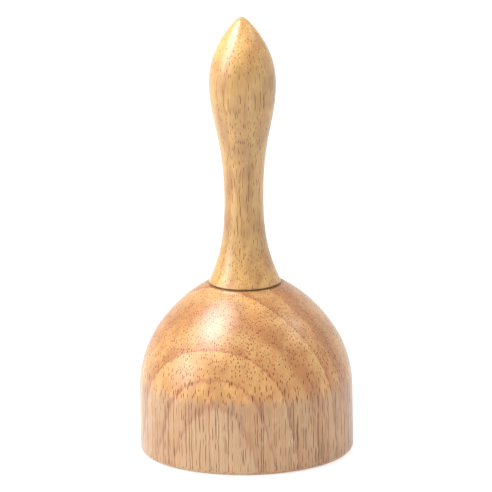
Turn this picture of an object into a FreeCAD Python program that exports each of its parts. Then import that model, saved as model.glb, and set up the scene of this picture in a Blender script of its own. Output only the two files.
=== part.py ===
"""Wooden massage cup with a turned handle, as a parametric document.

A bell-shaped cup, turned from one block of wood, carries a turned handle with a pointed end. The
two are varnished apart and then bolted together: a threaded insert sits in the handle's spigot,
and a button-head bolt comes up from inside the cup through a spring washer and a flat washer.
A wooden plug closes the bolt's well, so that the hollow is smooth and airtight.

Frame: millimetres, +Z up along the turning axis, origin at the middle of the rim's plane.
"""

import FreeCAD, Part
import math
import os
import re

import Sketcher
from FreeCAD import Vector

SIZES = {
    # the cup
    "cup_diameter": 95.0,
    "cup_height": 76.2,  # from the rim to the seat that the handle stands on
    "dome_rise": 48.0,  # how much of that is dome, above the straight wall
    "shoulder_radius": 50.0,  # the arc that follows the straight wall
    "shoulder_angle": 33.0,  # degrees that it turns through before the crown's arc
    "wall_thickness": 9.0,
    "rim_round": 2.6,
    "seat_land": 1.3,  # flat left round the handle's foot
    "floor_land": 1.5,  # flat left round the plug, in the floor of the hollow
    "crown_web": 8.0,  # wood between the flat washer and the handle's socket
    # the handle: the control points of its curve, the lower ones by their height over the seat
    # and the upper ones by their depth below the point
    "handle_height": 121.5,
    "foot_radius": 16.1,
    "flare_radius": 13.3,
    "flare_rise": 6.7,
    "ankle_radius": 9.3,
    "ankle_rise": 18.8,
    "waist_radius": 8.4,
    "waist_rise": 39.4,
    "neck_radius": 9.6,
    "neck_drop": 60.4,
    "belly_radius": 14.7,
    "belly_drop": 41.1,
    "swell_radius": 15.6,
    "swell_drop": 21.8,
    "taper_radius": 7.8,
    "taper_drop": 6.6,
    "nose_radius": 1.6,
    # the joint between the two
    "gap_height": 0.9,  # shadow gap under the edge of the foot
    "gap_depth": 1.6,
    "spigot_radius": 10.5,
    "spigot_length": 6.0,
    "spigot_chamfer": 0.6,
    "spigot_clearance": 0.1,
    "spigot_end_clearance": 0.4,
    # the threaded insert
    "insert_length": 16.0,
    "insert_radius": 5.2,  # over its coarse outer thread, and the bore that it is driven into
    "insert_pitch": 2.5,
    "insert_thread_depth": 0.9,
    "insert_crest": 0.4,
    "insert_tooth_root": 1.1,
    "insert_drive_width": 6.6,  # across the flats of the recess that it is driven by
    "insert_drive_depth": 4.0,
    "insert_run_out": 3.0,  # bore left past the end of the insert or the bolt
    # the bolt
    "bolt_radius": 2.95,
    "bolt_length": 30.0,
    "bolt_chamfer": 0.6,
    "bolt_pitch": 1.0,
    "bolt_thread_depth": 0.6,
    "bolt_thread_length": 22.0,
    "bolt_crest": 0.14,
    "bolt_thread_clearance": 0.05,
    "bolt_hole_clearance": 0.35,
    "head_radius": 5.25,
    "head_height": 3.3,
    "head_edge": 0.5,
    "head_flat_radius": 2.7,
    "head_dome_radius": 5.0,
    "key_width": 4.0,  # across the flats of the socket for the key
    "key_depth": 2.1,
    # the washers
    "washer_radius": 9.0,
    "washer_thickness": 1.6,
    "washer_clearance": 0.25,
    "spring_radius": 5.9,
    "spring_thickness": 1.6,
    "spring_split": 1.2,
    # the plug and the well that it closes
    "well_clearance": 0.5,
    "plug_thickness": 4.0,
    "plug_crown": 0.7,
    "plug_chamfer": 0.5,
    "plug_clearance": 0.8,
}

# Places and radii that follow from the sizes, in the frame of the whole object.
CUP_RADIUS = "(cup_diameter / 2)"
WALL_TOP = "(cup_height - dome_rise)"
SEAT_RADIUS = "(foot_radius + seat_land)"
TURN_RADIUS = f"({CUP_RADIUS} - shoulder_radius * (1 - cos(shoulder_angle)))"
TURN_HEIGHT = f"({WALL_TOP} + shoulder_radius * sin(shoulder_angle))"
SPIGOT_END = "(cup_height - spigot_length)"
SOCKET_RADIUS = "(spigot_radius + spigot_clearance)"
SOCKET_FLOOR = f"({SPIGOT_END} - spigot_end_clearance)"
WELL_RADIUS = "(washer_radius + well_clearance)"
WELL_ROOF = f"({SOCKET_FLOOR} - crown_web)"
WASHER_PLACE = f"({WELL_ROOF} - washer_thickness)"
SPRING_PLACE = f"({WASHER_PLACE} - spring_thickness)"
BOLT_PLACE = f"({SPRING_PLACE} - head_height)"
PLUG_TOP = f"({BOLT_PLACE} - plug_clearance)"
HOLLOW_FLOOR = f"({PLUG_TOP} - plug_thickness)"
PLUG_PLACE = f"({HOLLOW_FLOOR} - plug_crown)"
HOLLOW_RADIUS = f"({CUP_RADIUS} - wall_thickness)"
FLOOR_RADIUS = f"({WELL_RADIUS} + floor_land)"
HOLLOW_ROUND = f"({HOLLOW_RADIUS} - {FLOOR_RADIUS})"
BOLT_HOLE_RADIUS = "(bolt_radius + bolt_hole_clearance)"
BOLT_END = f"({BOLT_PLACE} + head_height + bolt_length)"
BORE_DEPTH = f"(max(insert_length; {BOLT_END} - {SPIGOT_END}) + insert_run_out)"
# The crown's arc leaves the shoulder's without a corner and ends at the seat.
CROWN_RUN = f"({TURN_RADIUS} - {SEAT_RADIUS})"
CROWN_RISE = f"(cup_height - {TURN_HEIGHT})"
CROWN_RADIUS = (
    f"(({CROWN_RUN}^2 + {CROWN_RISE}^2)"
    f" / (2 * ({CROWN_RUN} * cos(shoulder_angle) - {CROWN_RISE} * sin(shoulder_angle))))"
)

FULL_TURN = 360.0
OVERSHOOT = 0.3  # how far a thread's cutter stands outside the surface that it cuts


def make_sheet(doc):
    """The sheet of driving dimensions, one to a cell, each with its name as the cell's alias."""
    sheet = doc.addObject("Spreadsheet::Sheet", "sizes")
    for row, (name, size) in enumerate(SIZES.items(), start=1):
        sheet.set(f"A{row}", str(size))
        sheet.setAlias(f"A{row}", name)
    doc.recompute()
    return sheet


doc = FreeCAD.newDocument("massage_cup")
sizes = make_sheet(doc)


def on_sheet(expression):
    """The expression with each size's name written as the sheet's own."""
    return re.sub(
        r"[a-z_]+",
        lambda word: f"sizes.{word[0]}" if word[0] in SIZES else word[0],
        expression,
    )


def value(expression):
    """What the expression comes to with the sheet as it is."""
    return float(sizes.evalExpression(on_sheet(expression)))


def bind(thing, name, expression):
    """Ties a property of an object, or a constraint of a sketch, to the sheet."""
    thing.setExpression(name, on_sheet(expression))


def make_body(label, place="0"):
    """An empty body that stands at this height on the turning axis."""
    body = doc.addObject("PartDesign::Body", label)
    body.Label = label
    if place != "0":
        bind(body, "Placement.Base.z", place)
    return body


def make_sketch(body, name, role):
    """An empty sketch on one of the body's own origin planes."""
    sketch = body.newObject("Sketcher::SketchObject", name)
    plane = next(feature for feature in body.Origin.OriginFeatures if feature.Role == role)
    sketch.AttachmentSupport = [(plane, "")]
    sketch.MapMode = "FlatFace"
    return sketch


class Outline:
    """A closed outline in a body's XZ plane, drawn anticlockwise from its first corner.

    Corners are given as expressions for the distance from the axis and the height.
    """

    START, END, CENTRE = 1, 2, 3  # the points of an edge, as constraints number them
    ORIGIN = (-1, START)
    ACROSS, UPWARD = -1, -2  # the two axes, likewise

    def __init__(self, body, name, x, z):
        self.sketch = make_sketch(body, name, "XZ_Plane")
        self.corner = (x, z)
        self.edges = []

    def limit(self, kind, expression, *where):
        """Adds a constraint with a value, tied to the sheet."""
        index = self.sketch.addConstraint(Sketcher.Constraint(kind, *where, value(expression)))
        bind(self.sketch, f"Constraints[{index}]", expression)

    def hold(self, edge, point, x, z):
        """Holds one point of an edge at (x, z)."""
        for kind, expression, axis in (("DistanceX", x, self.UPWARD), ("DistanceY", z, self.ACROSS)):
            if expression == "0":
                self.sketch.addConstraint(Sketcher.Constraint("PointOnObject", edge, point, axis))
            else:
                self.limit(kind, expression, *self.ORIGIN, edge, point)

    def meet(self, edge, point, other, other_point):
        """Joins one end of an edge to an end of another."""
        self.sketch.addConstraint(Sketcher.Constraint("Coincident", edge, point, other, other_point))

    def add(self, curve):
        """Adds an edge that starts where the last one ended."""
        edge = self.sketch.addGeometry(curve, False)
        if self.edges:
            self.meet(self.edges[-1], self.END, edge, self.START)
        self.edges.append(edge)
        return edge

    def run_to(self, x, z):
        """Where the next edge starts and ends, and moves on to its end."""
        ends = [Vector(value(a), value(b), 0) for a, b in (self.corner, (x, z))]
        self.corner = (x, z)
        return ends

    def line(self, x, z):
        """A straight edge."""
        first = self.corner
        edge = self.add(Part.LineSegment(*self.run_to(x, z)))
        if len(self.edges) == 1:
            self.hold(edge, self.START, *first)
        self.hold(edge, self.END, x, z)
        return self

    def arc(self, x, z, radius):
        """A round edge that bulges out of the outline."""
        first = self.corner
        start, end = self.run_to(x, z)
        half = (end - start) / 2
        size = value(radius)
        outward = Vector(half.y, -half.x, 0).normalize()
        middle = start + half + outward * (size - math.sqrt(size**2 - half.Length**2))
        edge = self.add(Part.Arc(start, middle, end))
        if len(self.edges) == 1:
            self.hold(edge, self.START, *first)
        self.hold(edge, self.END, x, z)
        self.limit("Radius", radius, edge)
        return self

    def spline(self, *controls):
        """A smooth edge drawn by control points, the last of which is its end."""
        points = [self.corner, *controls]
        curve = Part.BSplineCurve()
        curve.buildFromPoles([Vector(value(x), value(z), 0) for x, z in points], False, 3)
        edge = self.sketch.addGeometry(curve, False)
        self.sketch.exposeInternalGeometry(edge)
        handles = [
            index
            for index, shown in enumerate(self.sketch.Geometry)
            if index > edge and isinstance(shown, Part.Circle)
        ]
        for handle, (x, z) in zip(handles[1:], points[1:]):
            self.hold(handle, self.CENTRE, x, z)
        self.meet(self.edges[-1], self.END, edge, self.START)
        self.edges.append(edge)
        self.corner = points[-1]
        return self

    def close(self, x, z):
        """The last straight edge, back to the first corner."""
        edge = self.add(Part.LineSegment(*self.run_to(x, z)))
        self.meet(edge, self.END, self.edges[0], self.START)
        return self.sketch


def turn(body, kind, name, sketch):
    """Turns a sketch round the body's axis, to add to the body or to cut from it."""
    feature = body.newObject(f"PartDesign::{kind}", name)
    feature.Profile = sketch
    feature.ReferenceAxis = (sketch, ["V_Axis"])
    feature.Angle = FULL_TURN
    doc.recompute()
    return feature


def cut_thread(body, name, sketch, pitch, height):
    """Cuts a right-handed thread with the sketch's outline."""
    feature = body.newObject("PartDesign::SubtractiveHelix", name)
    feature.Profile = sketch
    feature.ReferenceAxis = (sketch, ["V_Axis"])
    feature.Mode = "pitch-height-angle"
    bind(feature, "Pitch", pitch)
    bind(feature, "Height", height)
    doc.recompute()
    return feature


def cut_hexagon(body, name, width, depth):
    """Cuts a six-sided recess upwards from the bottom of the body."""
    sketch = make_sketch(body, f"{name}_outline", "XY_Plane")
    reach = value(f"{width} / sqrt(3)")
    points = [
        Vector(reach * math.cos(side * math.pi / 3), reach * math.sin(side * math.pi / 3), 0)
        for side in range(6)
    ]
    for start, end in zip(points, points[1:] + points[:1]):
        sketch.addGeometry(Part.LineSegment(start, end), False)
    circle = sketch.addGeometry(Part.Circle(Vector(), Vector(0, 0, 1), reach), True)
    sketch.addConstraint(Sketcher.Constraint("Coincident", circle, Outline.CENTRE, *Outline.ORIGIN))
    for side in range(6):
        following = (side + 1) % 6
        joined = (side, Outline.END, following, Outline.START)
        sketch.addConstraint(Sketcher.Constraint("Coincident", *joined))
        sketch.addConstraint(Sketcher.Constraint("PointOnObject", side, Outline.START, circle))
    for side in range(5):
        sketch.addConstraint(Sketcher.Constraint("Equal", side, side + 1))
    sketch.addConstraint(Sketcher.Constraint("PointOnObject", 0, Outline.START, Outline.ACROSS))
    index = sketch.addConstraint(Sketcher.Constraint("Radius", circle, reach))
    bind(sketch, f"Constraints[{index}]", f"{width} / sqrt(3)")
    pocket = body.newObject("PartDesign::Pocket", name)
    pocket.Profile = sketch
    pocket.Reversed = True
    bind(pocket, "Length", depth)
    doc.recompute()
    return pocket


def rings(feature, height, *radii):
    """The names of a feature's round edges at this height with these radii."""
    return [
        f"Edge{number}"
        for number, edge in enumerate(feature.Shape.Edges, start=1)
        if isinstance(edge.Curve, Part.Circle)
        and math.isclose(edge.Curve.Center.z, height, abs_tol=1e-6)
        and any(math.isclose(edge.Curve.Radius, radius, abs_tol=1e-6) for radius in radii)
    ]


def make_cup():
    """The cup: a dome over a straight wall, a hollow with a round corner, and the bolt's bores."""
    body = make_body("cup")
    block = Outline(body, "block", "0", "0")
    block.line(CUP_RADIUS, "0").line(CUP_RADIUS, WALL_TOP)
    block.arc(TURN_RADIUS, TURN_HEIGHT, "shoulder_radius")
    block.arc(SEAT_RADIUS, "cup_height", CROWN_RADIUS).line("0", "cup_height")
    turn(body, "Revolution", "turned_block", block.close("0", "0"))

    hollow = Outline(body, "hollow", "0", "0")
    hollow.line(HOLLOW_RADIUS, "0").line(HOLLOW_RADIUS, f"{HOLLOW_FLOOR} - {HOLLOW_ROUND}")
    hollow.arc(FLOOR_RADIUS, HOLLOW_FLOOR, HOLLOW_ROUND).line("0", HOLLOW_FLOOR)
    turn(body, "Groove", "turned_hollow", hollow.close("0", "0"))

    bores = Outline(body, "bores", "0", HOLLOW_FLOOR)
    bores.line(WELL_RADIUS, HOLLOW_FLOOR).line(WELL_RADIUS, WELL_ROOF)
    bores.line(BOLT_HOLE_RADIUS, WELL_ROOF).line(BOLT_HOLE_RADIUS, SOCKET_FLOOR)
    bores.line(SOCKET_RADIUS, SOCKET_FLOOR).line(SOCKET_RADIUS, "cup_height")
    bores.line("0", "cup_height")
    bored = turn(body, "Groove", "bored", bores.close("0", HOLLOW_FLOOR))

    lip = body.newObject("PartDesign::Fillet", "lip")
    lip.Base = (bored, rings(bored, 0.0, value(CUP_RADIUS), value(HOLLOW_RADIUS)))
    bind(lip, "Radius", "min(rim_round; wall_thickness / 3)")
    return body


def make_handle():
    """The handle: a spigot under a foot that is relieved at its edge, and a curve to the point."""
    body = make_body("handle", SPIGOT_END)
    seat = "spigot_length"
    top = "(spigot_length + handle_height)"
    foot = "(spigot_length + gap_height)"
    relief = "(foot_radius - gap_depth)"
    outline = Outline(body, "outline", "0", "0")
    outline.line("spigot_radius - spigot_chamfer", "0").line("spigot_radius", "spigot_chamfer")
    outline.line("spigot_radius", seat).line(relief, seat).line(relief, foot)
    outline.line("foot_radius", foot)
    outline.spline(
        ("flare_radius", f"{seat} + flare_rise"),
        ("ankle_radius", f"{seat} + ankle_rise"),
        ("waist_radius", f"{seat} + waist_rise"),
        ("neck_radius", f"{top} - neck_drop"),
        ("belly_radius", f"{top} - belly_drop"),
        ("swell_radius", f"{top} - swell_drop"),
        ("taper_radius", f"{top} - taper_drop"),
        ("nose_radius", top),
        ("0", top),
    )
    turn(body, "Revolution", "turned", outline.close("0", "0"))

    bore = Outline(body, "bore", "0", "0")
    bore.line("insert_radius", "0").line("insert_radius", BORE_DEPTH).line("0", BORE_DEPTH)
    turn(body, "Groove", "bored", bore.close("0", "0"))
    return body


def make_insert_nut():
    """The insert: coarse wood thread outside, bolt bore inside, six-sided drive at the mouth."""
    body = make_body("insert_nut", SPIGOT_END)
    bore = "(bolt_radius + bolt_thread_clearance)"
    sleeve = Outline(body, "sleeve", bore, "0")
    sleeve.line("insert_radius", "0").line("insert_radius", "insert_length")
    sleeve.line(bore, "insert_length")
    turn(body, "Revolution", "turned", sleeve.close(bore, "0"))
    cut_hexagon(body, "drive", "insert_drive_width", "insert_drive_depth")

    core = "(insert_radius - insert_thread_depth)"
    spread = f"((insert_tooth_root - insert_crest) / 2 * (1 + {OVERSHOOT} / insert_thread_depth))"
    low, high = "(-insert_pitch + insert_tooth_root / 2)", "(-insert_tooth_root / 2)"
    rim = f"insert_radius + {OVERSHOOT}"
    valley = Outline(body, "valley", core, low)
    valley.line(rim, f"{low} - {spread}").line(rim, f"{high} + {spread}").line(core, high)
    sketch = valley.close(core, low)
    cut_thread(body, "wood_thread", sketch, "insert_pitch", "insert_length + 2 * insert_pitch")
    return body


def make_bolt():
    """The bolt, standing on its domed head: shank, machine thread and a socket for the key."""
    body = make_body("bolt", BOLT_PLACE)
    end = "(head_height + bolt_length)"
    outline = Outline(body, "outline", "0", "0").line("head_flat_radius", "0")
    outline.arc("head_radius", "head_height - head_edge", "head_dome_radius")
    outline.line("head_radius", "head_height").line("bolt_radius", "head_height")
    outline.line("bolt_radius", f"{end} - bolt_chamfer")
    outline.line("bolt_radius - bolt_chamfer", end).line("0", end)
    turn(body, "Revolution", "turned", outline.close("0", "0"))
    cut_hexagon(body, "key_socket", "key_width", "key_depth")

    root = "(bolt_radius - bolt_thread_depth)"
    start = f"({end} - bolt_thread_length)"
    half = f"((bolt_pitch - bolt_crest) / 2 * (1 + {OVERSHOOT} / bolt_thread_depth))"
    rim = f"bolt_radius + {OVERSHOOT}"
    valley = Outline(body, "valley", root, start)
    valley.line(rim, f"{start} - {half}").line(rim, f"{start} + {half}")
    sketch = valley.close(root, start)
    cut_thread(body, "machine_thread", sketch, "bolt_pitch", "bolt_thread_length + bolt_pitch")
    return body


def make_washer(label, place, radius, thickness):
    """A flat ring round the bolt."""
    body = make_body(label, place)
    hole = "(bolt_radius + washer_clearance)"
    outline = Outline(body, "section", hole, "0")
    outline.line(radius, "0").line(radius, thickness).line(hole, thickness)
    turn(body, "Revolution", "ring", outline.close(hole, "0"))
    return body


def make_spring_washer():
    """A split ring, pressed flat by the bolt."""
    body = make_washer("spring_washer", SPRING_PLACE, "spring_radius", "spring_thickness")
    slot = Outline(body, "slot", "-spring_split / 2", "0")
    slot.line("spring_split / 2", "0").line("spring_split / 2", "spring_thickness")
    slot.line("-spring_split / 2", "spring_thickness")
    split = body.newObject("PartDesign::Pocket", "split")
    split.Profile = slot.close("-spring_split / 2", "0")
    bind(split, "Length", "spring_radius")
    return body


def make_bore_plug():
    """The plug, with a face that swells a little into the hollow."""
    body = make_body("bore_plug", PLUG_PLACE)
    back = "(plug_crown + plug_thickness)"
    outline = Outline(body, "outline", "0", "0")
    outline.arc(WELL_RADIUS, "plug_crown", f"({WELL_RADIUS}^2 + plug_crown^2) / (2 * plug_crown)")
    outline.line(WELL_RADIUS, f"{back} - plug_chamfer")
    outline.line(f"{WELL_RADIUS} - plug_chamfer", back).line("0", back)
    turn(body, "Revolution", "turned", outline.close("0", "0"))
    return body


def check(bodies):
    """Stops if any object failed or any sub-part isn't a valid solid."""
    for thing in doc.Objects:
        if "Invalid" in thing.State or "Error" in thing.State:
            raise RuntimeError(f"{thing.Label} failed: {thing.State}")
    for body in bodies:
        if body.Shape.isNull() or not body.Shape.isValid() or not body.Shape.Solids:
            raise RuntimeError(f"{body.Label} isn't a valid solid")


bodies = [
    make_cup(),
    make_handle(),
    make_insert_nut(),
    make_bolt(),
    make_washer("flat_washer", WASHER_PLACE, "washer_radius", "washer_thickness"),
    make_spring_washer(),
    make_bore_plug(),
]
doc.recompute()
check(bodies)
os.makedirs("parts", exist_ok=True)
for body in bodies:
    body.Shape.exportStep(f"parts/{body.Label}.step")
    print(f"{body.Label}: {body.Shape.Volume:.0f} mm3, {len(body.Shape.Faces)} faces")
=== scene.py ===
"""The looks of a turned wooden massage cup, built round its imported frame.

The cup, the handle and the plug are turned again here by a Geometry Nodes lathe, with their edges
softened, and are finished as varnished rubberwood: vessels that run up the turning axis show as
dots on the dome and as dashes on the straight wall, and growth rings cross both. The bolt, its
washers and the threaded insert keep the frame's own meshes and get plated or cast metal.

Frame: metres, +Z up along the turning axis, origin at the middle of the rim's plane.
"""

import logging
import math
from collections.abc import Mapping, Sequence
from dataclasses import dataclass
from enum import Enum

import bpy
from mathutils import Matrix, Vector


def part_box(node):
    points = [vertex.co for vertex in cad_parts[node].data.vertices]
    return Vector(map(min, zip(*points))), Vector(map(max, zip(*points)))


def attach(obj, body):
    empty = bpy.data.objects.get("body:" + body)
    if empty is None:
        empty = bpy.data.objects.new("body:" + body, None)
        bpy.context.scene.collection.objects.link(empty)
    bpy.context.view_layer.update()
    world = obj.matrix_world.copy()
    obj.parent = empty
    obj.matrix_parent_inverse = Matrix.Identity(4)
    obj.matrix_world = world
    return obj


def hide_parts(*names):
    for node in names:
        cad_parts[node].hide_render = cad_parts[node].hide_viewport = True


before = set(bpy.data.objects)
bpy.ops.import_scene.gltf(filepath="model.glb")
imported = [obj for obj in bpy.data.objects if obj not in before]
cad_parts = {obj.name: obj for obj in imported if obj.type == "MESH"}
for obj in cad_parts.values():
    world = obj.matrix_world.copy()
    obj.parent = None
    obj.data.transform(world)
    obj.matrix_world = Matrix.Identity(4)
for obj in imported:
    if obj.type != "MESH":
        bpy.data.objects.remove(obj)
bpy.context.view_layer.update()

LOG = logging.getLogger("massage_cup")
BODY = "root"
MM = 0.001
PER_MM = 1000.0
END_GRAIN = "end_grain"
WHITE = (1.0, 1.0, 1.0, 1.0)
HALF = (0.5, 0.5, 0.5)  # the middle of a noise's colours, and a unit sheet's middle from its corner
ACROSS_THE_GRAIN = (1.0, 1.0, 0.0)  # keeps all of a place but its height

# Sizes that two pieces share.
SPIGOT_RADIUS = 10.5 * MM
FOOT_RADIUS = 16.1 * MM
PLUG_CROWN = 0.7 * MM

# The curve from a screen's colours to linear light: straight up to its knee, then a power.
CURVE_KNEE = 0.04045
CURVE_SLOPE = 12.92
CURVE_OFFSET = 0.055
CURVE_POWER = 2.4

Colour = tuple[int, int, int]  # red, green and blue as they show on a screen, 0 to 255
Point = tuple[float, float]
Band = tuple[float, float, float, float]  # where a soft step starts and ends, and its two results
Feed = object  # another node's socket, or a value


def linear(colour: Colour) -> tuple[float, float, float, float]:
    """A colour as a node takes it.

    Args:
        colour: The colour as it shows on a screen.

    Returns:
        The colour in linear light, with an alpha of 1.
    """
    light = []
    for part in colour:
        shown = part / 255
        curved = ((shown + CURVE_OFFSET) / (1 + CURVE_OFFSET)) ** CURVE_POWER
        light.append(shown / CURVE_SLOPE if shown <= CURVE_KNEE else curved)
    return (*light, 1.0)


@dataclass(frozen=True)
class Noise:
    """A noise, with the size of its features across the grain and along it, in millimetres."""

    across: float
    along: float
    detail: float = 2.0  # how many finer layers it has


@dataclass
class Bench:
    """Wires a node tree, one node at a time."""

    tree: bpy.types.NodeTree

    def feed(self, node: bpy.types.Node, inputs: Mapping[str | int, Feed]) -> None:
        """Links or sets the inputs of a node.

        Args:
            node: The node.
            inputs: What goes into its inputs, by name or number: another node's socket or a value.
        """
        for name, feed in inputs.items():
            if isinstance(feed, bpy.types.NodeSocket):
                self.tree.links.new(feed, node.inputs[name])
            else:
                node.inputs[name].default_value = feed

    def node(self, kind: str, inputs: Mapping[str | int, Feed], **settings: object) -> bpy.types.Node:
        """Adds a node.

        Args:
            kind: The node's type.
            inputs: What goes into its inputs, by name or number: another node's socket or a value.
            **settings: The node's own properties.

        Returns:
            The node.
        """
        made = self.tree.nodes.new(kind)
        for name, setting in settings.items():
            setattr(made, name, setting)
        self.feed(made, inputs)
        return made

    def math(self, operation: str, *feeds: Feed) -> bpy.types.NodeSocket:
        """The result of one sum on numbers."""
        return self.node("ShaderNodeMath", dict(enumerate(feeds)), operation=operation).outputs[0]

    def vector(self, operation: str, *feeds: Feed) -> bpy.types.NodeSocket:
        """The vector that one sum on vectors gives."""
        made = self.node("ShaderNodeVectorMath", dict(enumerate(feeds)), operation=operation)
        return made.outputs["Vector"]

    def distance(self, place: Feed, other: Feed) -> bpy.types.NodeSocket:
        """How far apart two places are."""
        made = self.node("ShaderNodeVectorMath", {0: place, 1: other}, operation="DISTANCE")
        return made.outputs["Value"]

    def dot(self, first: Feed, second: Feed) -> bpy.types.NodeSocket:
        """The dot product of two vectors."""
        made = self.node("ShaderNodeVectorMath", {0: first, 1: second}, operation="DOT_PRODUCT")
        return made.outputs["Value"]

    def step(
        self, feed: Feed, low: Feed, high: Feed, start: float = 0.0, end: float = 1.0
    ) -> bpy.types.NodeSocket:
        """A soft step.

        Args:
            feed: What is compared.
            low: Where the step begins.
            high: Where it is complete.
            start: The result below the step.
            end: The result above it.

        Returns:
            The socket that carries the result.
        """
        inputs = {"Value": feed, "From Min": low, "From Max": high, "To Min": start, "To Max": end}
        made = self.node("ShaderNodeMapRange", inputs, interpolation_type="SMOOTHSTEP")
        return made.outputs["Result"]

    def place(self) -> bpy.types.NodeSocket:
        """The place on a piece, in millimetres."""
        coordinates = self.node("ShaderNodeTexCoord", {}).outputs["Object"]
        return self.vector("MULTIPLY", coordinates, (PER_MM,) * 3)

    def noise(self, place: Feed, kind: Noise) -> bpy.types.Node:
        """The noise node for a kind of noise at a place in millimetres."""
        drawn = self.vector("MULTIPLY", place, (1 / kind.across, 1 / kind.across, 1 / kind.along))
        return self.node("ShaderNodeTexNoise", {"Vector": drawn, "Scale": 1.0, "Detail": kind.detail})

    def tone(self, place: Feed, kind: Noise) -> bpy.types.NodeSocket:
        """A noise as a number, 0 to 1."""
        return self.noise(place, kind).outputs["Fac"]

    def swing(self, place: Feed, kind: Noise, reach: float) -> bpy.types.NodeSocket:
        """A noise as a number that swings by reach to either side of 0."""
        centred = self.math("SUBTRACT", self.tone(place, kind), 0.5)
        return self.math("MULTIPLY", centred, 2 * reach)

    def sway(self, place: Feed, kind: Noise, reach: float) -> bpy.types.NodeSocket:
        """A noise as a vector whose parts each swing by reach to either side of 0."""
        centred = self.vector("SUBTRACT", self.noise(place, kind).outputs["Color"], HALF)
        return self.vector("MULTIPLY", centred, (2 * reach,) * 3)

    def ramp(self, feed: Feed, stops: Sequence[tuple[float, float]]) -> bpy.types.NodeSocket:
        """A number read off a scale.

        Args:
            feed: Where on the scale to read, 0 to 1.
            stops: The scale: places, in order, and the number at each.

        Returns:
            The socket that carries the number.
        """
        made = self.node("ShaderNodeValToRGB", {"Fac": feed})
        marks = made.color_ramp.elements
        while len(marks) < len(stops):
            marks.new(1.0)
        for mark, (place, shade) in zip(marks, stops):
            mark.position = place
            mark.color = (shade, shade, shade, 1.0)
        return self.node("ShaderNodeRGBToBW", {"Color": made.outputs["Color"]}).outputs["Val"]

    def mix(self, share: Feed, first: Feed, second: Feed, blend: str = "MIX") -> bpy.types.NodeSocket:
        """Two colours mixed.

        Args:
            share: How much of the second there is, 0 to 1.
            first: The first colour.
            second: The second colour.
            blend: How the second goes over the first.

        Returns:
            The socket that carries the mixture.
        """
        inputs = {0: share, 6: first, 7: second}  # a mix node's inputs for colours
        made = self.node("ShaderNodeMix", inputs, data_type="RGBA", blend_type=blend)
        return made.outputs[2]


@dataclass(frozen=True)
class Relief:
    """How a height shows in a surface."""

    strength: float
    depth: float  # metres

    def normal(self, bench: Bench, height: bpy.types.NodeSocket) -> bpy.types.NodeSocket:
        """Which way the surface faces, with its heights."""
        inputs = {"Height": height, "Strength": self.strength, "Distance": self.depth}
        return bench.node("ShaderNodeBump", inputs).outputs["Normal"]


def new_material(name: str) -> tuple[bpy.types.Material, Bench, bpy.types.Node]:
    """An empty node material.

    Args:
        name: The material's name.

    Returns:
        The material, a bench for its tree, and its shader.
    """
    material = bpy.data.materials.new(name)
    material.use_nodes = True
    bench = Bench(material.node_tree)
    bench.tree.nodes.clear()
    shader = bench.node("ShaderNodeBsdfPrincipled", {})
    bench.node("ShaderNodeOutputMaterial", {"Surface": shader.outputs["BSDF"]})
    return material, bench, shader


@dataclass(frozen=True)
class Ring:
    """A late-wood line between two seasons' growth."""

    radius: float
    darkness: float
    width: float = 0.7  # how far inwards it fades, in millimetres


@dataclass(frozen=True)
class Season:
    """How deep the wood's colour is at a ring's radius: 0 is pale, and 1 or more is deep."""

    radius: float
    depth: float


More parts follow.
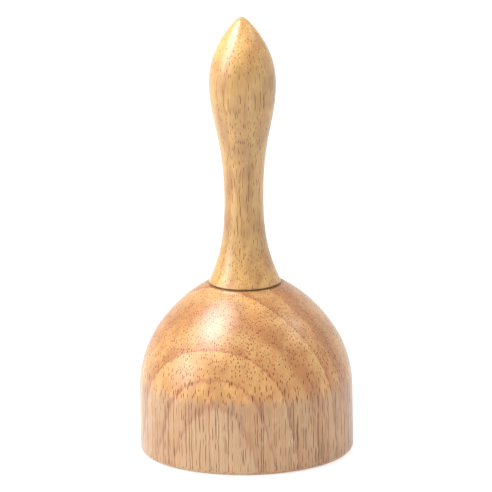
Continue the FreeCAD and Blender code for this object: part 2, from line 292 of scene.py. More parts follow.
@dataclass(frozen=True)
class GrowthRings:
    """The rings of the tree that a blank was cut from, in millimetres.

    The young tree grew evenly round its heart. From the even radius on it grew faster on one side,
    so each later ring is a circle whose centre has moved that way by a share of its growth.
    """

    heart: Point
    even: float
    drift: Point  # how far a later ring's centre moves for each millimetre of its radius
    lean: float  # how much the growth falls for each millimetre up the grain
    level: float  # the height at which the rings have their own radii
    wander: float  # how far a ring strays in its slow bends
    tooth: float  # and in its fine teeth
    seasons: tuple[Season, ...]
    lines: tuple[Ring, ...]
    span: float = 440.0  # the growth at the end of the scales of seasons and lines
    bends: Noise = Noise(across=26.0, along=80.0, detail=1.0)
    teeth: Noise = Noise(across=0.8, along=12.0)
    outer_fade: float = 0.4  # how far outwards a line fades, as a share of its width

    def late_growth(self, bench: Bench, flat: bpy.types.NodeSocket) -> bpy.types.NodeSocket:
        """The radius of the drifting ring through a place.

        The ring of radius r is the circle |place - start - r drift| = r, where start is the centre
        that the drift would have had at radius 0, and this solves it for r.

        Args:
            bench: Where the material is wired.
            flat: The place in millimetres, with no height.

        Returns:
            The socket that carries the radius.
        """
        drift = Vector((*self.drift, 0.0))
        start = Vector((*self.heart, 0.0)) - self.even * drift
        rest = 1 - drift.length_squared
        spoke = bench.vector("SUBTRACT", flat, tuple(start))
        along = bench.dot(spoke, tuple(drift))
        inside = bench.math("MULTIPLY_ADD", bench.dot(spoke, spoke), rest, bench.math("POWER", along, 2.0))
        root = bench.math("SUBTRACT", bench.math("SQRT", inside), along)
        return bench.math("DIVIDE", root, rest)

    def growth(self, bench: Bench, place: bpy.types.NodeSocket) -> bpy.types.NodeSocket:
        """How grown the tree was at a place.

        Args:
            bench: Where the material is wired.
            place: The place in millimetres.

        Returns:
            The radius of the ring there, as a share of the span.
        """
        bent = bench.vector("ADD", place, bench.sway(place, self.bends, self.wander))
        toothed = bench.vector("ADD", bent, bench.sway(place, self.teeth, self.tooth))
        flat = bench.vector("MULTIPLY", toothed, ACROSS_THE_GRAIN)
        early = bench.distance(flat, (*self.heart, 0.0))
        grown = bench.math("GREATER_THAN", early, self.even)
        later = bench.math("SUBTRACT", self.late_growth(bench, flat), early)
        rings = bench.math("MULTIPLY_ADD", later, grown, early)
        height = bench.node("ShaderNodeSeparateXYZ", {"Vector": place}).outputs["Z"]
        drop = bench.math("SUBTRACT", self.level, height)
        leaning = bench.math("MULTIPLY_ADD", drop, self.lean, rings)
        return bench.math("DIVIDE", leaning, self.span)

    def depth(self, bench: Bench, growth: bpy.types.NodeSocket) -> bpy.types.NodeSocket:
        """How deep the wood's colour is at a growth: 0 is pale and 1 is deep."""
        return bench.ramp(growth, [(season.radius / self.span, season.depth) for season in self.seasons])

    def late_wood(self, bench: Bench, growth: bpy.types.NodeSocket) -> bpy.types.NodeSocket:
        """How much of a late-wood line there is at a growth.

        Args:
            bench: Where the material is wired.
            growth: The growth, as a share of the span.

        Returns:
            The socket that carries it, 0 to 1.
        """
        stops = [(0.0, 0.0)]
        for line in self.lines:
            stops += [
                ((line.radius - line.width) / self.span, 0.0),
                (line.radius / self.span, line.darkness),
                ((line.radius + self.outer_fade * line.width) / self.span, 0.0),
            ]
        return bench.ramp(growth, stops)


@dataclass(frozen=True)
class Vessels:
    """The wood's pores: thin tubes that run up the grain and weave a little, in millimetres."""

    spacing: float = 0.85
    radius: float = 0.32
    thinnest: float = 0.6  # the narrowest tube that shows, as a share of the radius
    core: float = 0.45  # the part of a tube that is fully open, as a share of its own radius
    weave: float = 0.7
    waves: Noise = Noise(across=4.0, along=8.0, detail=1.0)
    hidden_long: float = 0.1  # the share of the tubes that don't show where the cut runs along them
    hidden_end: float = 0.5  # and where it runs across them

    def openings(
        self, bench: Bench, place: bpy.types.NodeSocket, end: bpy.types.NodeSocket
    ) -> bpy.types.NodeSocket:
        """Where a cut surface opens a tube.

        Args:
            bench: Where the material is wired.
            place: The place in millimetres.
            end: How much of an end-grain cut the surface is, 0 to 1.

        Returns:
            The socket that is 1 in a pore and 0 between them.
        """
        woven = bench.vector("ADD", place, bench.sway(place, self.waves, self.weave))
        inputs = {"Vector": woven, "Scale": 1 / self.spacing, "Randomness": 1.0}
        cells = bench.node("ShaderNodeTexVoronoi", inputs, voronoi_dimensions="2D", feature="F1")
        chance = bench.node("ShaderNodeSeparateColor", {"Color": cells.outputs["Color"]}).outputs
        hidden = bench.step(end, 0.0, 1.0, self.hidden_long, self.hidden_end)
        shown = bench.math("GREATER_THAN", chance["Red"], hidden)
        widest = self.radius / self.spacing
        girth = bench.step(chance["Green"], 0.0, 1.0, self.thinnest * widest, widest)
        core = bench.math("MULTIPLY", girth, self.core)
        return bench.math("MULTIPLY", bench.step(cells.outputs["Distance"], core, girth, 1.0, 0.0), shown)


@dataclass(frozen=True)
class Rubberwood:
    """Rubberwood under clear varnish."""

    name: str
    rings: GrowthRings
    vessels: Vessels
    long_pale: Colour
    long_deep: Colour
    end_pale: Colour
    end_deep: Colour
    line: Colour  # what a late-wood line multiplies the wood by
    pore: Colour  # and what a pore does
    mottle: float = 0.5  # how far the patches take the colour towards its pale or its deep end
    patches: Noise = Noise(across=5.0, along=9.0, detail=3.0)
    end_from: float = 0.06  # the end_grain that a surface has where it starts to look like end grain
    end_to: float = 0.15  # and where it looks like nothing else
    end_ragged: float = 0.12  # how far that edge strays, on the same scale
    end_teeth: Noise = Noise(across=0.8, along=9.0)
    fibres: Noise = Noise(across=0.45, along=16.0, detail=3.0)
    streak: Band = (0.3, 0.7, 0.87, 1.08)  # how the fibres shade the wood
    clouds: Noise = Noise(across=8.0, along=22.0)
    cloud: Band = (0.3, 0.7, 0.93, 1.05)  # how the clouds shade it
    pore_long: float = 0.75  # how strong a pore's colour is on long grain
    pore_end: float = 0.9  # and on end grain
    matt: Band = (0.2, 0.8, 0.42, 0.52)  # how rough the fibres are
    raised: float = 0.12  # how high the fibres stand, as a share of a pore's depth
    wood_relief: Relief = Relief(strength=0.35, depth=0.08 * MM)
    ripples: Noise = Noise(across=2.5, along=4.0, detail=1.0)
    ripple: float = 0.6  # how high the varnish ripples, as a share of a pore's depth
    varnish_relief: Relief = Relief(strength=0.18, depth=0.06 * MM)
    coat: float = 1.0
    coat_roughness: float = 0.34
    coat_ior: float = 1.8
    dull_pores: float = 0.5  # how much of the coat a pore lacks
    haze: float = 0.3  # the pale sheen that the varnish has at its edges
    haze_roughness: float = 0.3

    def end_share(self, bench: Bench, place: bpy.types.NodeSocket) -> bpy.types.NodeSocket:
        """How much a surface looks like end grain.

        Args:
            bench: Where the material is wired.
            place: The place in millimetres.

        Returns:
            The socket that carries it, 0 to 1.
        """
        cut = bench.node("ShaderNodeAttribute", {}, attribute_name=END_GRAIN).outputs["Fac"]
        ragged = bench.math("ADD", cut, bench.swing(place, self.end_teeth, self.end_ragged))
        return bench.step(ragged, self.end_from, self.end_to)

    def figure(
        self, bench: Bench, place: bpy.types.NodeSocket, end: bpy.types.NodeSocket
    ) -> bpy.types.NodeSocket:
        """The wood's colour from its rings and patches alone.

        Args:
            bench: Where the material is wired.
            place: The place in millimetres.
            end: How much the surface looks like end grain.

        Returns:
            The socket that carries the colour.
        """
        growth = self.rings.growth(bench, place)
        season = self.rings.depth(bench, growth)
        patches = bench.swing(place, self.patches, self.mottle)
        depth = bench.node("ShaderNodeClamp", {"Value": bench.math("ADD", season, patches)}).outputs[0]
        long_grain = bench.mix(depth, linear(self.long_pale), linear(self.long_deep))
        end_grain = bench.mix(depth, linear(self.end_pale), linear(self.end_deep))
        wood = bench.mix(end, long_grain, end_grain)
        return bench.mix(self.rings.late_wood(bench, growth), wood, linear(self.line), "MULTIPLY")

    def shaded(
        self,
        bench: Bench,
        place: bpy.types.NodeSocket,
        fibres: bpy.types.NodeSocket,
        wood: bpy.types.NodeSocket,
    ) -> bpy.types.NodeSocket:
        """The wood's colour with its streaks and clouds.

        Args:
            bench: Where the material is wired.
            place: The place in millimetres.
            fibres: The fibres' noise.
            wood: The colour before.

        Returns:
            The socket that carries the colour.
        """
        streak = bench.step(fibres, *self.streak)
        cloud = bench.step(bench.tone(place, self.clouds), *self.cloud)
        shade = bench.math("MULTIPLY", streak, cloud)
        made = bench.node("ShaderNodeVectorMath", {0: wood, "Scale": shade}, operation="SCALE")
        return made.outputs["Vector"]

    def make(self) -> bpy.types.Material:
        """The wood as a material.

        Returns:
            The material, which reads Object coordinates and the piece's end_grain attribute.
        """
        material, bench, shader = new_material(self.name)
        place = bench.place()
        end = self.end_share(bench, place)
        fibres = bench.tone(place, self.fibres)
        wood = self.shaded(bench, place, fibres, self.figure(bench, place, end))
        pores = self.vessels.openings(bench, place, end)
        filled = bench.math("MULTIPLY", pores, bench.step(end, 0.0, 1.0, self.pore_long, self.pore_end))
        raised = bench.math("MULTIPLY", fibres, self.raised)
        ripple = bench.math("MULTIPLY", bench.tone(place, self.ripples), self.ripple)
        look = {
            "Base Color": bench.mix(filled, wood, linear(self.pore), "MULTIPLY"),
            "Roughness": bench.step(fibres, *self.matt),
            "Specular IOR Level": 0.0,
            "Normal": self.wood_relief.normal(bench, bench.math("SUBTRACT", raised, pores)),
            "Coat Weight": bench.math("MULTIPLY_ADD", pores, -self.dull_pores * self.coat, self.coat),
            "Coat Roughness": self.coat_roughness,
            "Coat IOR": self.coat_ior,
            "Coat Normal": self.varnish_relief.normal(bench, bench.math("SUBTRACT", ripple, pores)),
            "Sheen Weight": self.haze,
            "Sheen Roughness": self.haze_roughness,
        }
        bench.feed(shader, look)
        return material


class Metal(Enum):
    """The metals of the fixings."""

    PLATED_STEEL = "plated_steel"
    ZINC_ALLOY = "zinc_alloy"


@dataclass(frozen=True)
class MetalFinish:
    """A plated or cast metal: its colour, how smooth it is, and the size of its spangle."""

    metal: Metal
    colour: Colour
    dull_colour: Colour
    roughness: float
    spangle: float  # the size of a crystal, in millimetres
    spangle_detail: float = 3.0
    marks: Noise = Noise(across=3.0, along=0.12, detail=1.0)  # what the tool left, round the axis
    dull: Band = (0.35, 0.65, 0.0, 1.0)  # from the dull colour to the other one
    smoother: float = 0.07  # how far the roughness goes below its own value
    rougher: float = 0.1  # and above it
    rough_from: float = 0.3
    rough_to: float = 0.7
    relief: Relief = Relief(strength=0.2, depth=0.03 * MM)

    def make(self) -> bpy.types.Material:
        """The metal as a material.

        Returns:
            The material, which reads Object coordinates.
        """
        material, bench, shader = new_material(self.metal.value)
        place = bench.place()
        grain = bench.tone(place, Noise(self.spangle, self.spangle, self.spangle_detail))
        marks = bench.tone(place, self.marks)
        low, high = self.roughness - self.smoother, self.roughness + self.rougher
        look = {
            "Base Color": bench.mix(
                bench.step(grain, *self.dull), linear(self.dull_colour), linear(self.colour)
            ),
            "Roughness": bench.step(grain, self.rough_from, self.rough_to, low, high),
            "Normal": self.relief.normal(bench, bench.math("ADD", grain, marks)),
            "Metallic": 1.0,
        }
        bench.feed(shader, look)
        return material


class Profile:
    """Half of a turned piece's section, drawn anticlockwise in metres."""

    LONGEST = 1.3 * MM  # from one ring of the mesh to the next
    TURN = math.radians(9)  # the most that an arc turns between two rings
    DEGREE = 3

    def __init__(self, radius: float, height: float) -> None:
        """Starts the profile at a radius and a height."""
        self.points = [Vector((radius, height))]

    def line(self, radius: float, height: float) -> "Profile":
        """A straight run.

        Args:
            radius: The radius where it ends.
            height: The height where it ends.

        Returns:
            The profile itself.
        """
        start, end = self.points[-1], Vector((radius, height))
        pieces = max(1, math.ceil((end - start).length / self.LONGEST))
        self.points += [start.lerp(end, piece / pieces) for piece in range(1, pieces + 1)]
        return self

    def arc(self, radius: float, height: float, bend: float) -> "Profile":
        """A round run.

        Args:
            radius: The radius where it ends.
            height: The height where it ends.
            bend: Its own radius, below 0 where it curves into the wood.

        Returns:
            The profile itself.
        """
        start, end = self.points[-1], Vector((radius, height))
        chord = end - start
        side = math.copysign(1.0, bend)
        outward = Vector((chord.y, -chord.x)).normalized() * side
        half = math.asin(min(1.0, chord.length / (2 * abs(bend))))
        centre = (start + end) / 2 - outward * abs(bend) * math.cos(half)
        sweep = 2 * half * side
        run = abs(sweep * bend)
        pieces = max(2, math.ceil(abs(sweep) / self.TURN), math.ceil(run / self.LONGEST))
        spoke = start - centre
        for piece in range(1, pieces):
            self.points.append(centre + Matrix.Rotation(sweep * piece / pieces, 2) @ spoke)
        self.points.append(end)
        return self

    def spline(self, controls: Sequence[Point], pieces: int) -> "Profile":
        """A smooth run, a cubic B-spline that starts and ends on its outer control points.

        Args:
            controls: The control points after the first, which is where the profile has come to.
            pieces: The number of rings in each of its spans.

        Returns:
            The profile itself.
        """
        poles = [self.points[-1], *(Vector(control) for control in controls)]
        spans = len(poles) - self.DEGREE
        for piece in range(1, spans * pieces + 1):
            self.points.append(self.along(poles, piece / pieces))
        return self

    def along(self, poles: Sequence[Vector], place: float) -> Vector:
        """De Boor's rule: the point of a clamped B-spline with even knots.

        Args:
            poles: Its control points.
            place: Where on it, counted in spans from its start.

        Returns:
            The point.
        """
        spans = len(poles) - self.DEGREE
        first = min(int(place), spans - 1)
        work = list(poles[first : first + self.DEGREE + 1])
        for level in range(1, self.DEGREE + 1):
            for index in range(self.DEGREE, level - 1, -1):
                low = max(first + index - self.DEGREE, 0)
                high = min(first + index + 1 - level, spans)
                work[index] = work[index - 1].lerp(work[index], (place - low) / (high - low))
        return work[self.DEGREE]


LATHE_INPUTS = {
    "Profile": "NodeSocketGeometry",
    "Steps round": "NodeSocketInt",
    "Crease": "NodeSocketFloat",
    "Weld": "NodeSocketFloat",
    "Under": "NodeSocketFloat",
    "Finish": "NodeSocketMaterial",
}


@dataclass(frozen=True)
class Lathe:
    """Turns a profile round the axis into a closed mesh, with Geometry Nodes."""

    steps_round: int = 240
    crease: float = math.radians(38)  # the bend from which an edge shows
    weld: float = 0.001 * MM
    under: float = 0.1  # how much an underside shows its end grain, as a share of a top

    def tree(self) -> bpy.types.NodeTree:
        """The lathe's node tree.

        Returns:
            A tree with one input for each of the lathe's sizes, one for the profile and one for the finish.
        """
        tree = bpy.data.node_groups.new("lathe", "GeometryNodeTree")
        for name, kind in LATHE_INPUTS.items():
            tree.interface.new_socket(name=name, in_out="INPUT", socket_type=kind)
        tree.interface.new_socket(name="Piece", in_out="OUTPUT", socket_type="NodeSocketGeometry")
        bench = Bench(tree)
        given = bench.node("NodeGroupInput", {}).outputs
        creased = self.creased(bench, self.shell(bench, given), given)
        inputs = {"Geometry": creased, "Name": END_GRAIN, "Value": self.cut(bench, given)}
        marked = bench.node("GeometryNodeStoreNamedAttribute", inputs, data_type="FLOAT", domain="POINT")
        real = bench.node("GeometryNodeRealizeInstances", {"Geometry": marked.outputs["Geometry"]})
        inputs = {"Geometry": real.outputs["Geometry"], "Material": given["Finish"]}
        dressed = bench.node("GeometryNodeSetMaterial", inputs)
        bench.node("NodeGroupOutput", {"Piece": dressed.outputs["Geometry"]})
        return tree

    def shell(self, bench: Bench, given: Mapping[str, bpy.types.NodeSocket]) -> bpy.types.NodeSocket:
        """A flat sheet wrapped round the axis, each of its rows at one point of the profile.

        Args:
            bench: Where the tree is wired.
            given: The tree's inputs.

        Returns:
            The socket that carries the closed shell.
        """
        size = bench.node("GeometryNodeAttributeDomainSize", {"Geometry": given["Profile"]})
        rings = size.outputs["Point Count"]
        columns = bench.math("ADD", given["Steps round"], 1.0)
        inputs = {"Size X": 1.0, "Size Y": 1.0, "Vertices X": columns, "Vertices Y": rings}
        sheet = bench.node("GeometryNodeMeshGrid", inputs).outputs["Mesh"]

        place = bench.node("GeometryNodeInputPosition", {}).outputs["Position"]
        share = bench.node("ShaderNodeSeparateXYZ", {"Vector": bench.vector("ADD", place, HALF)})
        last = bench.math("SUBTRACT", rings, 1.0)
        row = bench.math("ROUND", bench.math("MULTIPLY", share.outputs["Y"], last))
        inputs = {"Geometry": given["Profile"], "Value": place, "Index": row}
        on_profile = bench.node("GeometryNodeSampleIndex", inputs, data_type="FLOAT_VECTOR")
        angle = bench.math("MULTIPLY", share.outputs["X"], math.tau)
        inputs = {"Vector": on_profile.outputs["Value"], "Angle": angle}
        turned = bench.node("ShaderNodeVectorRotate", inputs, rotation_type="Z_AXIS")
        inputs = {"Geometry": sheet, "Position": turned.outputs["Vector"]}
        wrapped = bench.node("GeometryNodeSetPosition", inputs).outputs["Geometry"]
        inputs = {"Geometry": wrapped, "Distance": given["Weld"]}
        return bench.node("GeometryNodeMergeByDistance", inputs).outputs["Geometry"]

    def creased(
        self, bench: Bench, shell: bpy.types.NodeSocket, given: Mapping[str, bpy.types.NodeSocket]
    ) -> bpy.types.NodeSocket:
        """The shell, smooth but for its edges.

        Args:
            bench: Where the tree is wired.
            shell: The shell.
            given: The tree's inputs.

        Returns:
            The socket that carries it.
        """
        bends = bench.node("GeometryNodeInputMeshEdgeAngle", {}).outputs["Unsigned Angle"]
        sharp = bench.math("GREATER_THAN", bends, given["Crease"])
        inputs = {"Geometry": shell, "Shade Smooth": True}
        smooth = bench.node("GeometryNodeSetShadeSmooth", inputs, domain="FACE").outputs["Geometry"]
        inputs = {"Geometry": smooth, "Selection": sharp, "Shade Smooth": False}
        return bench.node("GeometryNodeSetShadeSmooth", inputs, domain="EDGE").outputs["Geometry"]

    def cut(self, bench: Bench, given: Mapping[str, bpy.types.NodeSocket]) -> bpy.types.NodeSocket:
        """How much the surface cuts across the grain.

        Args:
            bench: Where the tree is wired.
            given: The tree's inputs.

        Returns:
            The socket that carries it: 1 on a top, 0 on an upright wall, and a little on an underside.
        """
        facing = bench.node("GeometryNodeInputNormal", {}).outputs["Normal"]
        upward = bench.node("ShaderNodeSeparateXYZ", {"Vector": facing}).outputs["Z"]
        downward = bench.math("MULTIPLY", upward, -1.0)
        return bench.math("MAXIMUM", upward, bench.math("MULTIPLY", downward, given["Under"]))

    def turn(self, name: str, profile: Profile, finish: bpy.types.Material) -> bpy.types.Object:
        """Turns one piece.

        Args:
            name: The piece's name.
            profile: Its section.
            finish: Its material.

        Returns:
            The piece, at the origin, with its place in its mesh.
        """
        outline = bpy.data.meshes.new(f"{name}_outline")
        corners = [(point.x, 0.0, point.y) for point in profile.points]
        outline.from_pydata(corners, [(end - 1, end) for end in range(1, len(corners))], [])
        piece = bpy.data.objects.new(name, outline)
        bpy.context.scene.collection.objects.link(piece)
        modifier = piece.modifiers.new("lathe", "NODES")
        modifier.node_group = bpy.data.node_groups.get("lathe") or self.tree()
        sizes = {
            "Steps round": self.steps_round,
            "Crease": self.crease,
            "Weld": self.weld,
            "Under": self.under,
            "Finish": finish,
        }
        for socket in modifier.node_group.interface.items_tree:
            if socket.name in sizes:
                modifier[socket.identifier] = sizes[socket.name]
        graph = bpy.context.evaluated_depsgraph_get()
        mesh = bpy.data.meshes.new_from_object(piece.evaluated_get(graph), depsgraph=graph)
        piece.modifiers.remove(modifier)
        piece.data = mesh
        mesh.name = name
        bpy.data.meshes.remove(outline)
        return piece


def place_on_frame(piece: bpy.types.Object, node: str) -> bpy.types.Object:
    """Lets a finished piece stand for a node of the frame.

    Args:
        piece: The piece.
        node: The node that it replaces.

    Returns:
        The piece.
    """
    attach(piece, BODY)
    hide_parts(node)
    return piece


@dataclass
class Cup:
    """The cup: a dome over a straight wall, a hollow, and the bores for the bolt."""

    finish: Rubberwood
    wall_top: float = 28.2 * MM
    shoulder_bend: float = 50.0 * MM
    shoulder_turn: float = math.radians(33)
    wall: float = 9.0 * MM
    lip: float = 2.6 * MM
    seat_land: float = 1.3 * MM
    seat_edge: float = 0.35 * MM  # how wide the soft edge of the seat is, to either side
    seat_edge_drop: float = 0.75  # how far it falls, as a share of that
    seat_edge_bend: float = 2.2  # and its radius, likewise
    floor_land: float = 1.5 * MM
    bolt_hole: float = 3.3 * MM
    socket_clearance: float = 0.1 * MM
    socket_end: float = 0.4 * MM
    spigot: float = SPIGOT_RADIUS
    foot: float = FOOT_RADIUS
    plug_crown: float = PLUG_CROWN

    def profile(self) -> Profile:
        """The cup's section, from the middle of the lip round the outside and back through the hollow.

        Returns:
            The closed profile.
        """
        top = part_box("cup")[1]
        radius, height = top.x, top.z
        plug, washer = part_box("bore_plug"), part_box("flat_washer")
        hollow_floor = plug[0].z + self.plug_crown
        well, well_roof = plug[1].x, washer[1].z
        socket_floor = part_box("handle")[0].z - self.socket_end
        socket = self.spigot + self.socket_clearance
        hollow = radius - self.wall
        floor = well + self.floor_land
        corner = hollow - floor
        seat = self.foot + self.seat_land
        turn_radius = radius - self.shoulder_bend * (1 - math.cos(self.shoulder_turn))
        turn_height = self.wall_top + self.shoulder_bend * math.sin(self.shoulder_turn)
        run, rise = turn_radius - seat, height - turn_height
        slope = run * math.cos(self.shoulder_turn) - rise * math.sin(self.shoulder_turn)
        crown = (run**2 + rise**2) / (2 * slope)
        edge = self.seat_edge

        cut = Profile(radius - self.wall / 2, 0.0)
        cut.line(radius - self.lip, 0.0).arc(radius, self.lip, self.lip).line(radius, self.wall_top)
        cut.arc(turn_radius, turn_height, self.shoulder_bend)
        cut.arc(seat + edge, height - edge * self.seat_edge_drop, crown)
        cut.arc(seat - edge, height, self.seat_edge_bend * edge)
        cut.line(socket, height).line(socket, socket_floor).line(self.bolt_hole, socket_floor)
        cut.line(self.bolt_hole, well_roof).line(well, well_roof).line(well, hollow_floor)
        cut.line(floor, hollow_floor).arc(hollow, hollow_floor - corner, -corner)
        cut.line(hollow, self.lip).arc(hollow + self.lip, 0.0, self.lip)
        return cut.line(radius - self.wall / 2, 0.0)

    def build(self, lathe: Lathe) -> bpy.types.Object:
        """The cup as a finished piece."""
        piece = lathe.turn("turned_cup", self.profile(), self.finish.make())
        return place_on_frame(piece, "cup")


@dataclass
class Handle:
    """The handle: a spigot and a relieved foot, a slim waist, a belly and a pointed end."""

    finish: Rubberwood
    gap: float = 0.9 * MM
    gap_depth: float = 1.6 * MM
    foot: float = FOOT_RADIUS
    spigot: float = SPIGOT_RADIUS
    spigot_chamfer: float = 0.6 * MM
    bore_run_out: float = 3.0 * MM
    rings_to_a_span: int = 26
    rising: tuple[Point, ...] = ((13.3, 6.7), (9.3, 18.8), (8.4, 39.4))  # mm out, mm over the seat
    falling: tuple[Point, ...] = ((9.6, 60.4), (14.7, 41.1), (15.6, 21.8), (7.8, 6.6))  # mm under the point
    nose: float = 1.6 * MM

    def profile(self) -> Profile:
        """The handle's section, from the end of its bore round the spigot and up to the point.

        Returns:
            The profile.
        """
        low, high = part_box("handle")
        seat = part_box("cup")[1].z
        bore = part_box("insert_nut")[1].x
        bore_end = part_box("bolt")[1].z + self.bore_run_out
        relief, foot_edge = self.foot - self.gap_depth, seat + self.gap
        controls = [(radius * MM, seat + rise * MM) for radius, rise in self.rising]
        controls += [(radius * MM, high.z - drop * MM) for radius, drop in self.falling]
        controls += [(self.nose, high.z), (0.0, high.z)]

        cut = Profile(0.0, bore_end).line(bore, bore_end).line(bore, low.z)
        cut.line(self.spigot - self.spigot_chamfer, low.z).line(self.spigot, low.z + self.spigot_chamfer)
        cut.line(self.spigot, seat).line(relief, seat)
        cut.line(relief, foot_edge).line(self.foot, foot_edge)
        return cut.spline(controls, self.rings_to_a_span)

    def build(self, lathe: Lathe) -> bpy.types.Object:
        """The handle as a finished piece."""
        piece = lathe.turn("turned_handle", self.profile(), self.finish.make())
        return place_on_frame(piece, "handle")


@dataclass
class BorePlug:
    """The plug that closes the bolt's well, with a face that swells into the hollow."""

    finish: Rubberwood
    crown: float = PLUG_CROWN
    chamfer: float = 0.5 * MM

    def build(self, lathe: Lathe) -> bpy.types.Object:
        """The plug.

        Args:
            lathe: What turns it.

        Returns:
            The finished piece.
        """
        low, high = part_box("bore_plug")
        radius = high.x
        face = (radius**2 + self.crown**2) / (2 * self.crown)
        cut = Profile(0.0, low.z).arc(radius, low.z + self.crown, face)
        cut.line(radius, high.z - self.chamfer).line(radius - self.chamfer, high.z).line(0.0, high.z)
        piece = lathe.turn("turned_plug", cut, self.finish.make())
        return place_on_frame(piece, "bore_plug")


@dataclass
class Fixings:
    """The bolt, its washers and the insert, which keep the frame's own meshes."""

    finishes: tuple[tuple[MetalFinish, tuple[str, ...]], ...]

    def dress(self) -> list[bpy.types.Object]:
        """Gives each fixing its metal.

        Returns:
            The fixings.
        """
        dressed = []
        for finish, names in self.finishes:
            metal = finish.make()
            for name in names:
                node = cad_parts[name]
                node.data.materials.clear()
                node.data.materials.append(metal)
                dressed.append(node)
        return dressed


@dataclass(frozen=True)
class Softbox:
    """A round studio light."""

    name: str
    towards: tuple[float, float, float]  # from the object
    distance: float
    width: float
    power: float  # watts


@dataclass
class Studio:
    """The pale floor, the white room, the lights and the camera."""

    softboxes: tuple[Softbox, ...]
    room: float = 1.0  # how bright the white room is
    floor_radius: float = 30.0
    floor_sides: int = 96
    floor_drop: float = 0.1 * MM
    floor_glow: float = 0.6  # how much light it gives off
    floor_shade: float = 0.55  # how pale its paint is
    floor_roughness: float = 0.9
    camera_distance: float = 5.0
    camera_elevation: float = math.radians(14.8)
    camera_lean: float = math.radians(0.7)
    aim: tuple[float, float, float] = (0.0, 0.0, 100.0 * MM)
    aim_right: float = 0.77 * MM  # how far beside the aim the picture's middle is
    aim_up: float = -6.87 * MM  # and how far over it
    lens: float = 824.0  # millimetres

    def lay_floor(self) -> None:
        """Lays a wide pale disc just under the rim."""
        place = (0.0, 0.0, -self.floor_drop)
        bpy.ops.mesh.primitive_circle_add(
            vertices=self.floor_sides, radius=self.floor_radius, fill_type="NGON", location=place
        )
        floor = bpy.context.object
        floor.name = "studio_floor"
        material, bench, shader = new_material("floor_paint")
        shade = (self.floor_shade,) * 3
        look = {
            "Base Color": (*shade, 1.0),
            "Roughness": self.floor_roughness,
            "Emission Color": WHITE,
            "Emission Strength": self.floor_glow,
        }
        bench.feed(shader, look)
        floor.data.materials.append(material)

    def light(self) -> None:
        """Sets up the white room and hangs the softboxes, which the camera doesn't see."""
        world = bpy.data.worlds.new("white_room")
        world.use_nodes = True
        backdrop = world.node_tree.nodes["Background"].inputs
        backdrop["Color"].default_value = WHITE
        backdrop["Strength"].default_value = self.room
        bpy.context.scene.world = world
        for softbox in self.softboxes:
            data = bpy.data.lights.new(softbox.name, "AREA")
            data.shape = "DISK"
            data.size = softbox.width
            data.energy = softbox.power
            lamp = bpy.data.objects.new(softbox.name, data)
            direction = Vector(softbox.towards).normalized()
            lamp.location = Vector(self.aim) + direction * softbox.distance
            lamp.rotation_euler = direction.to_track_quat("Z", "Y").to_euler()
            lamp.visible_camera = False
            bpy.context.scene.collection.objects.link(lamp)

    def set_camera(self) -> None:
        """Sets up the camera, a long way off with a long lens, looking a little down."""
        forward = Vector((0.0, math.cos(self.camera_elevation), -math.sin(self.camera_elevation)))
        level = Vector((1.0, 0.0, 0.0))
        above = level.cross(forward)
        right = level * math.cos(self.camera_lean) - above * math.sin(self.camera_lean)
        up = level * math.sin(self.camera_lean) + above * math.cos(self.camera_lean)
        data = bpy.data.cameras.new("camera")
        data.lens = self.lens
        camera = bpy.data.objects.new("camera", data)
        turned = Matrix((right, up, -forward)).transposed()
        target = Vector(self.aim) + right * self.aim_right + up * self.aim_up
        camera.matrix_world = Matrix.Translation(target - forward * self.camera_distance) @ turned.to_4x4()
        bpy.context.scene.collection.objects.link(camera)
        bpy.context.scene.camera = camera

    def build(self) -> None:
        """Sets up the whole studio."""
        self.lay_floor()
        self.light()
        self.set_camera()
        bpy.context.scene.view_settings.view_transform = "Standard"


CUP_RINGS = GrowthRings(
    heart=(60.0, -4.4),
    even=20.0,
    drift=(0.085, 0.881),
    lean=0.97,
    level=76.0,
    wander=0.5,
    tooth=1.0,
    seasons=(
        Season(0.0, 0.4),
        Season(44.0, 0.45),
        Season(62.0, 0.9),
        Season(72.0, 1.3),
        Season(82.0, 1.1),
        Season(92.0, 0.6),
        Season(125.0, 0.65),
        Season(134.0, 0.95),
        Season(138.0, 0.3),
        Season(155.0, 0.35),
        Season(185.0, 0.8),
        Season(208.0, 1.0),
        Season(228.0, 0.7),
        Season(244.0, 0.45),
        Season(268.0, 0.5),
        Season(284.0, 0.85),
        Season(294.0, 0.3),
        Season(334.0, 0.55),
        Season(346.0, 0.4),
        Season(369.0, 0.6),
        Season(373.0, 0.1),
        Season(440.0, 0.1),
    ),
    lines=(
        Ring(66.0, 0.3, 6.0),
        Ring(136.0, 0.45, 4.0),
        Ring(291.6, 0.8, 6.0),
        Ring(344.0, 0.75, 5.0),
        Ring(371.0, 0.5, 5.0),
    ),
)

HANDLE_RINGS = GrowthRings(
    heart=(-34.0, 18.0),
    even=60.0,
    drift=(0.0, 0.0),
    lean=0.06,
    level=0.0,
    wander=1.5,
    tooth=0.3,
    span=160.0,
    seasons=(
        Season(0.0, 0.3),
        Season(24.0, 0.2),
        Season(30.0, 0.6),
        Season(31.0, 0.1),
        Season(38.0, 0.6),
        Season(39.0, 0.2),
        Season(46.0, 0.7),
        Season(47.0, 0.2),
        Season(60.0, 0.6),
        Season(160.0, 0.3),
    ),
    lines=(Ring(30.0, 0.15), Ring(38.0, 0.1), Ring(46.0, 0.15)),
)

CUP_WOOD = Rubberwood(
    name="cup_rubberwood",
    rings=CUP_RINGS,
    vessels=Vessels(),
    long_pale=(174, 136, 94),
    long_deep=(158, 110, 60),
    end_pale=(198, 150, 84),
    end_deep=(164, 103, 38),
    line=(206, 146, 80),
    pore=(156, 98, 30),
    mottle=0.8,
)

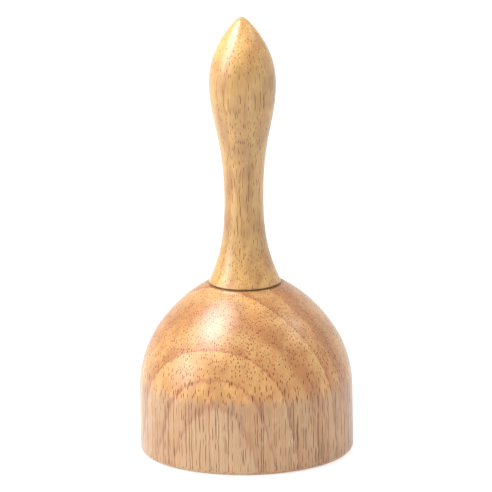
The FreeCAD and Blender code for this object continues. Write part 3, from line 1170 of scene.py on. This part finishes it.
HANDLE_WOOD = Rubberwood(
    name="handle_rubberwood",
    rings=HANDLE_RINGS,
    vessels=Vessels(radius=0.25, weave=0.9, hidden_long=0.4, hidden_end=0.35),
    long_pale=(176, 136, 72),
    long_deep=(144, 98, 38),
    end_pale=(206, 160, 88),
    end_deep=(178, 120, 50),
    line=(214, 178, 140),
    pore=(164, 108, 40),
    mottle=0.9,
    end_from=0.1,
    end_to=0.6,
)

PLUG_WOOD = Rubberwood(
    name="plug_rubberwood",
    rings=HANDLE_RINGS,
    vessels=Vessels(),
    long_pale=(176, 138, 100),
    long_deep=(158, 114, 74),
    end_pale=(190, 138, 84),
    end_deep=(176, 112, 54),
    line=(190, 128, 90),
    pore=(150, 92, 36),
)

PLATED_STEEL = MetalFinish(
    metal=Metal.PLATED_STEEL,
    colour=(206, 208, 210),
    dull_colour=(176, 180, 186),
    roughness=0.3,
    spangle=0.8,
)

ZINC_ALLOY = MetalFinish(
    metal=Metal.ZINC_ALLOY,
    colour=(186, 182, 170),
    dull_colour=(150, 146, 136),
    roughness=0.42,
    spangle=0.4,
)

SOFTBOXES = (
    Softbox("key_softbox", towards=(-0.526, -0.11, 0.844), distance=0.48, width=0.3, power=2.1),
    Softbox("tip_softbox", towards=(-0.63, -0.42, 0.69), distance=0.34, width=0.12, power=0.2),
    Softbox("left_softbox", towards=(-0.9, -0.25, 0.3), distance=2.0, width=1.0, power=13.0),
    Softbox("right_softbox", towards=(0.71, 0.11, 0.7), distance=2.0, width=0.5, power=3.0),
)


def main() -> None:
    """Builds every piece and the studio, and reports each."""
    logging.basicConfig(level=logging.INFO, format="%(name)s: %(message)s")
    lathe = Lathe()
    turned = [
        Cup(CUP_WOOD).build(lathe),
        Handle(HANDLE_WOOD).build(lathe),
        BorePlug(PLUG_WOOD).build(lathe),
    ]
    fixings = Fixings(
        (
            (PLATED_STEEL, ("bolt", "flat_washer", "spring_washer")),
            (ZINC_ALLOY, ("insert_nut",)),
        )
    )
    for piece in turned + fixings.dress():
        LOG.info("%s has %d faces", piece.name, len(piece.data.polygons))
    Studio(SOFTBOXES).build()


if __name__ == "__main__":
    main()
